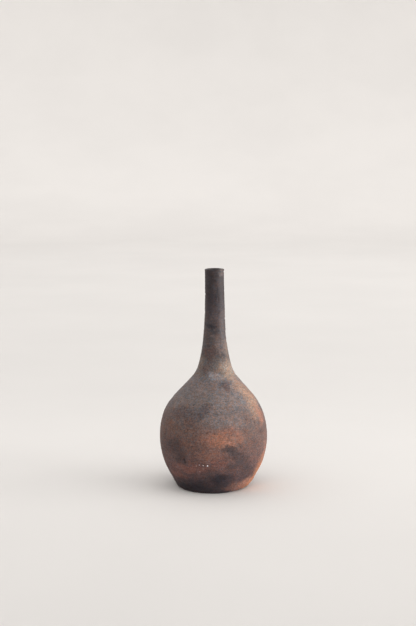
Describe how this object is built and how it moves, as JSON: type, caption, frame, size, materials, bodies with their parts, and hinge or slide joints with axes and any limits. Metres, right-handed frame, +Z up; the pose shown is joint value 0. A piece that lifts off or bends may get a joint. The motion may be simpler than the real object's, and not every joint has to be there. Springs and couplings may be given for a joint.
{
  "type": "stoneware bottle vase",
  "caption": "Free-standing stoneware bottle vase with a round belly and a long narrow neck, smoke-marked clay outside and a liner glaze inside, to hold water and a stem.",
  "frame": {"origin": "centre of the ring that the foot stands on", "axes": "+Z up along the vase's axis, out of the mouth; -Y is the front, where the white grains are; +X is to the right seen from the front"},
  "size_m": [0.1286, 0.1286, 0.26],
  "materials": {
    "foot_clay": "bare fired clay, smoke-blackened, matte",
    "bowl_clay": "bare fired clay, brown to brick red, smoke-marked, matte",
    "dome_clay": "bare fired clay, grey-brown with an orange flash, matte",
    "neck_clay": "bare fired clay, charcoal, slightly satin",
    "coil_clay": "bare fired clay, matte",
    "clay_slip": "fired slip, matte",
    "liner_glaze": "thin brown liner glaze, glossy",
    "feldspar": "melted white grain, slightly glossy"
  },
  "bodies": {
    "root": {"foot_slab": "foot_clay", "foot_slip": "clay_slip", "floor_coil": "coil_clay", "bowl_wall": "bowl_clay", "belly_slip": "clay_slip", "belly_coil": "coil_clay", "shoulder_dome": "dome_clay", "neck_slip": "clay_slip", "neck_coil": "coil_clay", "neck": "neck_clay", "liner_glaze": "liner_glaze", "feldspar_grains": "feldspar"}
  },
  "joints": []
}
